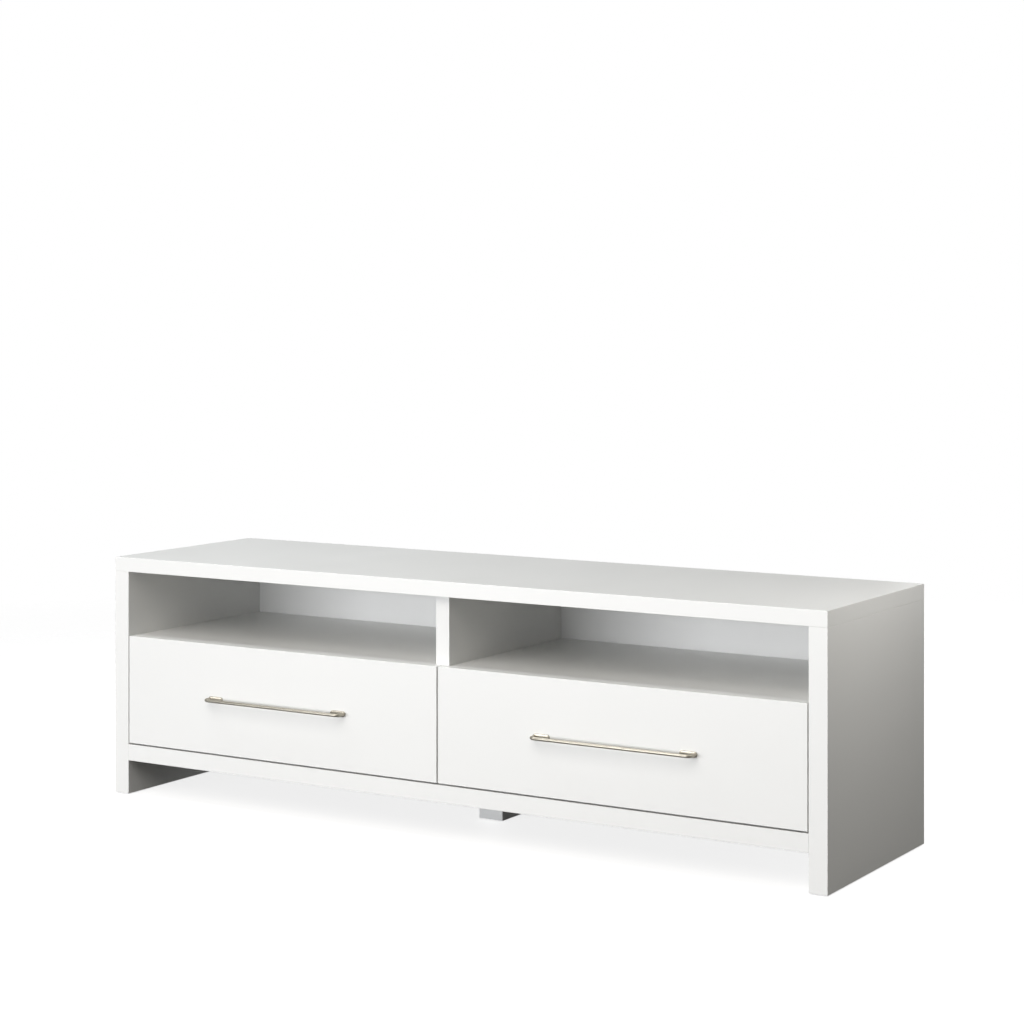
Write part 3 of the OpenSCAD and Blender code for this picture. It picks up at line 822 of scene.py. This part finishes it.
def handleMesh(name):
    low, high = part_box(name)
    radius = handleSet["bar"] / 2
    footR = (high.z - low.z) / 2
    footHalf = handleSet["footLength"] / 2
    legX = (high.x - low.x) / 2 - handleSet["footPast"] - radius
    footX = (high.x - low.x) / 2 - footHalf
    centre = Vector(((low.x + high.x) / 2, high.y, (low.z + high.z) / 2))
    reach = high.y - low.y - radius
    bend = handleSet["bend"]
    sides = handleSet["sides"]
    angles = [2 * math.pi * i / sides for i in range(sides)]
    shape = bmesh.new()

    def footRing(inset, out):
        ring = []
        for a in angles:
            # the straight part keeps the two round ends of the foot apart
            straight = (footHalf - footR) * ((math.cos(a) > 1e-6) - (math.cos(a) < -1e-6))
            across = (footR - inset) * math.cos(a) + straight
            ring.append(Vector((-footX + across, -out, (footR - inset) * math.sin(a))))
        return ring

    def legRing(extra, out):
        ring = []
        for a in angles:
            least, most = handleSet["fillet"]
            r = radius + extra * (least + (most - least) * (0.5 + 0.5 * math.cos(a)))
            ring.append(Vector((-legX + r * math.cos(a), -out, r * math.sin(a))))
        return ring

    thick = handleSet["footThick"]
    rim = handleSet["footRim"]
    base = handleSet["footBase"]
    rise = thick + handleSet["filletRise"]
    most = handleSet["fillet"][1]
    half = [[Vector((-footX, 0, 0))], footRing(base, 0), footRing(0, base)]
    for a in quarterTurn(handleSet["roundSteps"]):
        half.append(footRing(rim * (1 - math.cos(a)), thick - rim + rim * math.sin(a)))
    for a in quarterTurn(handleSet["roundSteps"]):
        half.append(legRing(1 - math.sin(a), rise + most * (1 - math.cos(a))))
    hub = Vector((-legX + bend, -(reach - bend), 0))
    up = Vector((0, 0, 1))
    for a in quarterTurn(handleSet["bendSteps"]):
        side = Vector((math.cos(a), math.sin(a), 0))
        spot = hub - bend * side
        half.append([spot + radius * (math.cos(t) * side + math.sin(t) * up) for t in angles])
    flip = Matrix.Diagonal((-1, 1, 1))
    rings = half + [[flip @ p for p in ring] for ring in reversed(half)]
    loops = [[shape.verts.new(centre + p) for p in ring] for ring in rings]
    skin(shape, loops, sides)
    return smooth(meshFrom(shape, name), 50)


for name in ("left_drawer_handle", "right_drawer_handle"):
    addPiece(handleMesh(name), name, "pull")
print("handles ready")

# screws: countersunk or pan heads with a cross, and a real thread

screwSet = {
    "sides": 16,
    "pitch": 0.42,  # over the shank's diameter, like the next three
    "core": 0.68,
    "neck": 0.9,
    "point": 0.5,
    "pointLength": 0.4,  # over the whole length of the tip, like the next
    "threadStart": 1.1,
    "crossLength": 0.28,  # half the cross over the head's diameter, like the next two
    "crossWidth": 0.06,
    "crossDepth": 0.24,
    "crossTaper": 0.55,  # width at the bottom over width at the top
    "threadEnd": 0.6 * mm,  # below the head
    "neckEnd": 0.3 * mm,
    # head outlines: a share of the head's radius, then of its height or a depth
    "pan": ((0.97, 0), (1, 0.16), (0.97, 0.55), (0.84, 0.85), (0.55, 0.98), (0, 1)),
    "flat": ((0.96, -0.16 * mm), (0.98, -0.08 * mm), (0.95, 0), (0, 0)),
    "seed": 11,
}
# taper is the length of the tip over the shank's diameter
screwKinds = {
    "panel_screws": {"shank": 5 * mm, "head": 3.5 * mm, "flat": True, "taper": 0.8},
    "back_panel_screws": {"shank": 3.5 * mm, "head": 1.3 * mm, "flat": False, "taper": 0.8},
    "cabinet_rail_screws": {"shank": 3.5 * mm, "head": 1.6 * mm, "flat": True, "taper": 0.8},
    "slide_screws": {"shank": 3.5 * mm, "head": 1.6 * mm, "flat": True, "taper": 0.8},
    "box_screws": {"shank": 5 * mm, "head": 3.5 * mm, "flat": True, "taper": 0.8},
    "handle_screws": {"shank": 4 * mm, "head": 2.6 * mm, "flat": False, "taper": 0.35},
}


def threadRings(core, crest, pitch, bottom, top):
    # a ridge that climbs one pitch for each turn; its foot is two thirds of a pitch wide
    steepness = 3
    levelsPerTurn = 4

    def rule(z):
        def radius(angle):
            t = z / pitch - angle / (2 * math.pi)
            return core + (crest - core) * max(0, 1 - steepness * abs(t - round(t)))

        return radius

    count = max(2, round((top - bottom) / pitch * levelsPerTurn))
    levels = [bottom + (top - bottom) * i / count for i in range(count + 1)]
    return [(rule(z), z) for z in levels]


def cross(reach, width, depth, top):
    # the tool for a cross recess, sunk from the height top
    arms = []
    for i in range(4):
        c, s = round(math.cos(i * math.pi / 2)), round(math.sin(i * math.pi / 2))
        for x, y in ((reach, -width), (reach, width), (width, width)):
            arms.append((x * c - y * s, x * s + y * c))
    return prism(arms, top - depth, top + past, "cross", screwSet["crossTaper"])


def screwMesh(name, length, headD, shank, head, flat, taper):
    crest = shank / 2
    core = crest * screwSet["core"]
    tip = -length + (0 if flat else head)
    full = taper * shank
    under = -head if flat else 0
    top = 0 if flat else head
    rings = [(0, tip), (core * screwSet["point"], tip + full * screwSet["pointLength"])]
    rings.append((core, tip + full))
    start, end = tip + full * screwSet["threadStart"], under - screwSet["threadEnd"]
    rings += threadRings(core, crest, screwSet["pitch"] * shank, start, end)
    rings += [(crest * screwSet["neck"], under - screwSet["neckEnd"]), (crest, under)]
    if flat:
        rings += [(headD / 2 * share, z) for share, z in screwSet["flat"]]
    else:
        rings += [(headD / 2 * share, head * rise) for share, rise in screwSet["pan"]]
    body = lathe(rings, screwSet["sides"], name)
    sizes = [headD * screwSet[key] for key in ("crossLength", "crossWidth", "crossDepth")]
    return smooth(cutAway(body, cross(*sizes, top)), 40)


for name in sorted(n for n in nodes if n.endswith("_screws")):
    kind = screwKinds.get(name) or screwKinds[name.split("drawer_")[1]]
    found = [screwPlace(points) for points in solidsOf(name)]
    _, length, headD = found[0]
    lift = 0 if kind["flat"] else kind["head"]
    places = [place @ Matrix.Translation((0, 0, -lift)) for place, _, _ in found]
    screw = screwMesh(name, length, headD, **kind)
    mesh = setShape(screw, places, slotOf[name], math.pi, screwSet["seed"])
    addPiece(mesh, name, "set")
print("screws ready")

# cam fittings: lock discs and their bolts

camSet = {
    "edge": 0.5 * mm,
    "rim": (0.86, 0.82),  # the raised rim over the radius: its inner edge and the foot of it
    "faceDepth": 0.35 * mm,
    "axis": 6 * mm,  # from the face to the middle of the bolt
    "slotWidth": 7.2 * mm,
    "slotPast": 2.5 * mm,
    "driveLength": 4 * mm,
    "driveWidth": 0.75 * mm,
    "driveDepth": 2.2 * mm,
    "arrowOut": 6.2 * mm,
    "arrow": (1.6 * mm, 1 * mm, 0.7 * mm),  # length, half width, depth
    "sides": 48,
}
boltSet = {
    "thread": 6 * mm,
    "core": 0.78,  # over the thread's diameter
    "pitch": 1.8 * mm,
    "threadFrom": 0.5 * mm,
    "threadTo": 1.2 * mm,  # short of the point
    "point": ((0.7, 0.8 * mm), (0.4, 0)),  # share of the thread's radius, short of the point
    "shank": 5 * mm,
    "neck": 3.4 * mm,
    "head": 6.6 * mm,
    "chamfer": 0.4 * mm,
    "threadLength": 10 * mm,
    "headLength": 4 * mm,
    "neckLength": 5 * mm,
    "sides": 20,
}


def camMesh(diameter, height, name):
    r = diameter / 2
    edge = camSet["edge"]
    inner, foot = camSet["rim"]
    face = -camSet["faceDepth"]
    rings = [
        (0, -height), (r - edge, -height), (r, -height + edge), (r, -edge), (r - edge, 0),
        (r * inner, 0), (r * foot, face), (0, face),
    ]
    disc = lathe(rings, camSet["sides"], name)
    half = camSet["slotWidth"] / 2
    start, end = -camSet["slotPast"], r + past
    slot = [(start, -half), (end, -half), (end, half), (start, half)]
    disc = cutAway(disc, prism(slot, -height - past, -camSet["axis"] + half, "slot"))
    sizes = [camSet[key] for key in ("driveLength", "driveWidth", "driveDepth")]
    disc = cutAway(disc, cross(*sizes, 0))
    out = camSet["arrowOut"]
    long, wide, deep = camSet["arrow"]
    arrow = [(out, 0), (out - long, wide), (out - long, -wide)]
    return smooth(cutAway(disc, prism(arrow, -deep, past, "arrow")), 35)


def boltMesh(back, front, name):
    head, shank, neck = (boltSet[key] / 2 for key in ("head", "shank", "neck"))
    thread = boltSet["thread"] / 2
    hold = -back + boltSet["headLength"]
    free = hold + boltSet["neckLength"] - boltSet["headLength"] / 2
    c = boltSet["chamfer"]
    rings = [(0, -back), (head - c, -back), (head, -back + c), (head, hold - c), (head - c, hold)]
    rings += [(neck, hold), (neck, free), (shank, free + c), (shank, -c), (shank - c, 0)]
    start, end = boltSet["threadFrom"], front - boltSet["threadTo"]
    rings += threadRings(thread * boltSet["core"], thread, boltSet["pitch"], start, end)
    rings += [(thread * share, front - short) for share, short in boltSet["point"]]
    rings.append((0, front))
    return smooth(lathe(rings, boltSet["sides"], name), 40)


def uprightWay(mid):
    # the way to the board that holds the bolt: the divider for the inner ends of the shelves,
    # an end panel for everything else
    shelfLevel = 0.2  # metres above the ground
    atDivider = abs(mid.x) < 0.5 * cadBox[1][0] and mid.z > shelfLevel
    return Vector((math.copysign(1, mid.x) * (-1 if atDivider else 1), 0, 0))


def camPlaces(name):
    # shelf and floor cams face down, drawer cams face into the box; the slot looks at the bolt
    places = []
    boxLow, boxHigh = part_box(name)
    for points in solidsOf(name):
        low, high = corners(points)
        mid = (low + high) / 2
        if "drawer" in name:
            facing = Vector((1 if mid.x < (boxLow.x + boxHigh.x) / 2 else -1, 0, 0))
            towards = Vector((0, -1, 0))
        else:
            facing = Vector((0, 0, -1))
            towards = uprightWay(mid)
        face = mid + facing * (high - low)[along(points, False)] / 2
        places.append(placed(face, facing, towards))
    low, high = corners(solidsOf(name)[0])
    height, diameter, _ = sorted(high - low)
    return places, diameter, height


for name in sorted(n for n in nodes if n.endswith("cam_locks")):
    places, diameter, height = camPlaces(name)
    mesh = setShape(camMesh(diameter, height, name), places, slotOf[name])
    addPiece(mesh, name, "set")

for name in sorted(n for n in nodes if n.endswith("cam_bolts")):
    front = boltSet["threadLength"]
    places, lengths = [], []
    for points in solidsOf(name):
        low, high = corners(points)
        axis = along(points)
        mid = (low + high) / 2
        lengths.append((high - low)[axis])
        z = Vector((0, -1, 0)) if axis == 1 else uprightWay(mid)
        places.append(placed(mid + z * lengths[-1] / 2 - z * front, z))
    mesh = setShape(boltMesh(lengths[0] - front, front, name), places, slotOf[name])
    addPiece(mesh, name, "set")
print("cam fittings ready")

# fluted dowels, in two lengths

dowelSet = {"chamfer": 1 * mm, "flute": 0.25 * mm, "sides": 32}


def dowelMesh(length, diameter, name):
    r = diameter / 2
    c = dowelSet["chamfer"]
    step = 2 * math.pi / dowelSet["sides"]

    def fluted(angle):
        return r - dowelSet["flute"] * (round(angle / step) % 2)

    half = length / 2
    rings = [(0, -half), (r - c, -half), (fluted, -half + c)]
    rings += [(fluted, half - c), (r - c, half), (0, half)]
    return smooth(lathe(rings, dowelSet["sides"], name), 25)


byLength = {}
for points in solidsOf("wood_dowels"):
    low, high = corners(points)
    place = placed((low + high) / 2, axisVector(along(points)))
    spans = sorted(high - low)
    byLength.setdefault(round(spans[2] / mm), []).append((place, spans[0]))
parts = [
    setShape(dowelMesh(length * mm, rows[0][1], "dowel"), [r[0] for r in rows], "beech")
    for length, rows in sorted(byLength.items())
]
addPiece(joined(parts, "wood_dowels"), "wood_dowels", "set")
print("dowels ready")

# nail-on glides under the side panels and the foot, bumpers behind the drawer fronts

glideSet = {
    "thick": 2 * mm,
    "lowerEdge": ((1.4 * mm, 0), (0.5 * mm, 0.25 * mm), (0, 0.9 * mm)),  # inset, height
    "upperEdge": ((0, 0.3 * mm), (0.3 * mm, 0)),  # inset, distance below the top
    "nailHead": 3.0 * mm,  # radius, like the next two
    "well": 4.2 * mm,
    "pin": 1.5 * mm,
    "wellDepth": 0.5 * mm,
    "wellEdge": (-0.4 * mm, 0.6 * mm),
    "pinTip": 2 * mm,
    "sides": 40,
}
bumperSet = {
    "sides": 28,
    "rings": 6,
    "wall": 0.3,  # share of the height that stands up straight
    "draft": 0.98,  # radius at the top of that over the radius at the bottom
}


def glideMesh(radius, length):
    sizes = ("thick", "nailHead", "well", "pin", "wellDepth")
    thick, nail, well, pin, depth = (glideSet[key] for key in sizes)
    inner, outer = glideSet["wellEdge"]
    rings = [(0, depth * 0.5), (nail * 0.6, depth * 0.55), (nail, depth)]
    rings += [(well + inner, depth), (well, depth * 0.4), (well + outer, 0)]
    rings += [(radius - inset, z) for inset, z in glideSet["lowerEdge"]]
    rings += [(radius - inset, thick - below) for inset, below in glideSet["upperEdge"]]
    rings += [(pin, thick), (pin, length - glideSet["pinTip"]), (0, length)]
    mesh = smooth(lathe(rings, glideSet["sides"], "glide"), 40)
    for face in mesh.polygons:
        out = math.hypot(face.center.x, face.center.y)
        isPin = out < 2 * pin and face.center.z > thick + 0.1 * mm
        face.material_index = int(out < nail or isPin)
    return mesh


def bumperMesh(radius, height):
    wall, top = bumperSet["wall"], radius * bumperSet["draft"]
    rings = [(0, 0), (radius, 0), (top, height * wall)]
    for a in quarterTurn(bumperSet["rings"])[1:-1]:
        rings.append((top * math.cos(a), height * (wall + (1 - wall) * math.sin(a))))
    return smooth(lathe(rings + [(0, height)], bumperSet["sides"], "bumper"), 50)


glides = [corners(points) for points in solidsOf("floor_glides")]
low, high = glides[0]
glide = glideMesh((high.x - low.x) / 2, high.z - low.z)
places = [placed(((a.x + b.x) / 2, (a.y + b.y) / 2, a.z), (0, 0, 1)) for a, b in glides]
isNail = [face.material_index for face in glide.polygons] * len(places)
mesh = setShape(glide, places, "glide_plastic")
mesh.materials.clear()
mesh.polygons.foreach_set("material_index", isNail)
addPiece(mesh, "floor_glides", "set", [finish["glide_plastic"], finish["zinc_screws"]])

bumpers = [corners(points) for points in solidsOf("drawer_bumpers")]
low, high = bumpers[0]
bumper = bumperMesh((high.z - low.z) / 2, high.y - low.y)
places = [placed(((a.x + b.x) / 2, b.y, (a.z + b.z) / 2), (0, -1, 0)) for a, b in bumpers]
addPiece(setShape(bumper, places, "clear_rubber"), "drawer_bumpers", "set")
print("glides and bumpers ready")

# slides: rolled steel channels with round bends, slots and countersunk holes

slideSet = {
    "steel": 1.2 * mm,
    "bend": 1.1 * mm,
    "bendSteps": 5,
    "slot": (9 * mm, 4.4 * mm),
    "slotSteps": 8,  # in each round end
    "slotPlaces": (0.16, 0.3, 0.42, 0.58, 0.7, 0.84),  # along the rail's length
    "pilot": 2.6 * mm,
    "pilotLong": 0.2 * mm,  # longer than it is high
    "pilotPlaces": (0.035, 0.225, 0.365, 0.635, 0.775, 0.965),
    "pilotClear": 8 * mm,  # no pilot hole this near to a screw
    "ownScrews": 16 * mm,  # screws this near to the web belong to the rail
    "webScrews": 2 * mm,  # screws with their head this near to the web get a countersink
    "sink": ((0, -6 * mm), (1.8 * mm, -6 * mm), (1.8 * mm, -1.6 * mm), (3.35 * mm, 0)),
    "sinkSides": 24,
    "cabinetLip": 2.4 * mm,
    "boxLip": 1.0 * mm,
    "middleSlotIn": 12 * mm,
    "punch": 4 * mm,  # half the length of the punching tools
}


def sheetOutline(points):
    # a sheet of steel bent along a line: rounded corners, then both faces
    bend, half = slideSet["bend"], slideSet["steel"] / 2
    line = [Vector(points[0])]
    for trio in zip(points, points[1:], points[2:]):
        before, at, after = (Vector(point) for point in trio)
        a = (before - at).normalized()
        b = (after - at).normalized()
        hub = at + (a + b) * bend
        for t in quarterTurn(slideSet["bendSteps"]):
            line.append(hub - b * bend * math.cos(t) - a * bend * math.sin(t))
    line.append(Vector(points[-1]))
    left, right = [], []
    for i, spot in enumerate(line):
        run = (line[min(i + 1, len(line) - 1)] - line[max(i - 1, 0)]).normalized()
        side = Vector((-run.y, run.x)) * half
        left.append(spot + side)
        right.append(spot - side)
    return left + right[::-1]


def railMesh(points, y0, y1, name):
    outline = sheetOutline(points)
    shape = bmesh.new()
    loops = [[shape.verts.new((p.x, y, p.y)) for p in outline] for y in (y0, y1)]
    skin(shape, loops, len(outline))
    shape.faces.new(loops[0])
    shape.faces.new(loops[1])
    return meshFrom(shape, name)


def holeTool(width, height, web, y, z):
    # an oblong punch through the web, long along Y
    r = height / 2
    reach = width / 2 - r
    outline = []
    for centre, start in ((reach, -0.5), (-reach, 0.5)):
        for i in range(slideSet["slotSteps"] + 1):
            a = math.pi * (start + i / slideSet["slotSteps"])
            outline.append((centre + r * math.cos(a), r * math.sin(a)))
    mesh = prism(outline, -slideSet["punch"], slideSet["punch"], "tool")
    mesh.transform(placed((web, y, z), (1, 0, 0), (0, 1, 0)))
    return mesh


def sinkTool(place):
    rings = list(slideSet["sink"])
    rim = rings[-1][0]
    rings += [(rim, 3 * past), (0, 3 * past)]
    mesh = lathe(rings, slideSet["sinkSides"], "sink")
    mesh.transform(place)
    return mesh


def punched(mesh, low, high, web, screws):
    tools = []
    span = high.y - low.y
    midZ = (low.z + high.z) / 2
    spots = [middle(points) for points in screws]
    taken = [spot.y for spot in spots if abs(spot.x - web) < slideSet["ownScrews"]]
    for share in slideSet["slotPlaces"]:
        tools.append(holeTool(*slideSet["slot"], web, low.y + share * span, midZ))
    pilot = slideSet["pilot"]
    for share in slideSet["pilotPlaces"]:
        y = low.y + share * span
        if all(abs(y - other) > slideSet["pilotClear"] for other in taken):
            tools.append(holeTool(pilot + slideSet["pilotLong"], pilot, web, y, midZ))
    for points in screws:
        place, _, _ = screwPlace(points)
        if abs(place.to_translation().x - web) < slideSet["webScrews"]:
            tools.append(sinkTool(place))
    return smooth(cutAway(mesh, joined(tools, "punches")), 30)


def webAndEdge(low, high, webFirst):
    # x of the middle of the web and of the open edge; the web is at low x when webFirst
    half = slideSet["steel"] / 2
    if webFirst:
        return low.x + half, high.x - half
    return high.x - half, low.x + half


half = slideSet["steel"] / 2
cabinetScrews = solidsOf("cabinet_rail_screws")
for side in ("left", "right"):
    boxScrews = solidsOf(side + "_drawer_slide_screws")
    bayMid = middle(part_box(side + "_drawer_bottom")).x
    for hand in ("left", "right"):
        name = f"{side}_drawer_{hand}_cabinet_rail"
        low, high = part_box(name)
        atLeft = (low.x + high.x) / 2 < bayMid
        web, edge = webAndEdge(low, high, atLeft)
        top, bottom, lip = high.z - half, low.z + half, slideSet["cabinetLip"]
        line = [
            (edge, high.z - lip), (edge, top), (web, top),
            (web, bottom), (edge, bottom), (edge, low.z + lip),
        ]
        mesh = railMesh(line, low.y, high.y, name)
        addPiece(punched(mesh, low, high, web, cabinetScrews), name, "channel")

        name = f"{side}_drawer_{hand}_slide_rail"
        low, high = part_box(name)
        web, edge = webAndEdge(low, high, not atLeft)
        flange = slideSet["boxLip"] + half
        top, bottom = high.z - flange, low.z + flange
        line = [
            (edge, high.z), (edge, top), (web, top),
            (web, bottom), (edge, bottom), (edge, low.z),
        ]
        mesh = railMesh(line, low.y, high.y, name)
        addPiece(punched(mesh, low, high, web, boxScrews), name, "channel")

    name = side + "_drawer_middle_rails"
    rails = []
    for points in solidsOf(name):
        low, high = corners(points)
        atLeft = (low.x + high.x) / 2 < bayMid
        web, _ = webAndEdge(low, high, atLeft)
        edge = high.x if atLeft else low.x
        top, bottom = high.z - half, low.z + half
        line = [(edge, top), (web, top), (web, bottom), (edge, bottom)]
        rail = railMesh(line, low.y, high.y, name)
        slots = (low.y + slideSet["middleSlotIn"], high.y - slideSet["middleSlotIn"])
        midZ = (low.z + high.z) / 2
        tools = [holeTool(*slideSet["slot"], web, y, midZ) for y in slots]
        rails.append(smooth(cutAway(rail, joined(tools, "punches")), 30))
    addPiece(joined(rails, name), name, "channels")
print("slides ready")

# bearing balls, a row of them from each first ball

for name in sorted(n for n in nodes if n.endswith("_balls")):
    solids = solidsOf(name)
    rows = {}
    for points in solids:
        spot = middle(points)
        rows.setdefault((round(spot.x, 4), round(spot.z, 4)), []).append(spot)
    rows = [sorted(row, key=lambda spot: spot.y) for row in rows.values()]
    low, high = corners(solids[0])
    inputs = {
        "Diameter": high.z - low.z,
        "Balls in a row": len(rows[0]),
        "Step": rows[0][1].y - rows[0][0].y,
        "Finish": finish["ball_steel"],
    }
    places = [Matrix.Translation(row[0]) for row in rows]
    addPiece(grown(ballRows, places, inputs, name), name, "set")
print("balls ready")

for name, piece in nodes.items():
    if not piece.hide_render:
        piece.data.materials.clear()
        piece.data.materials.append(finish[slotOf[name]])
        print("kept from the model:", name)
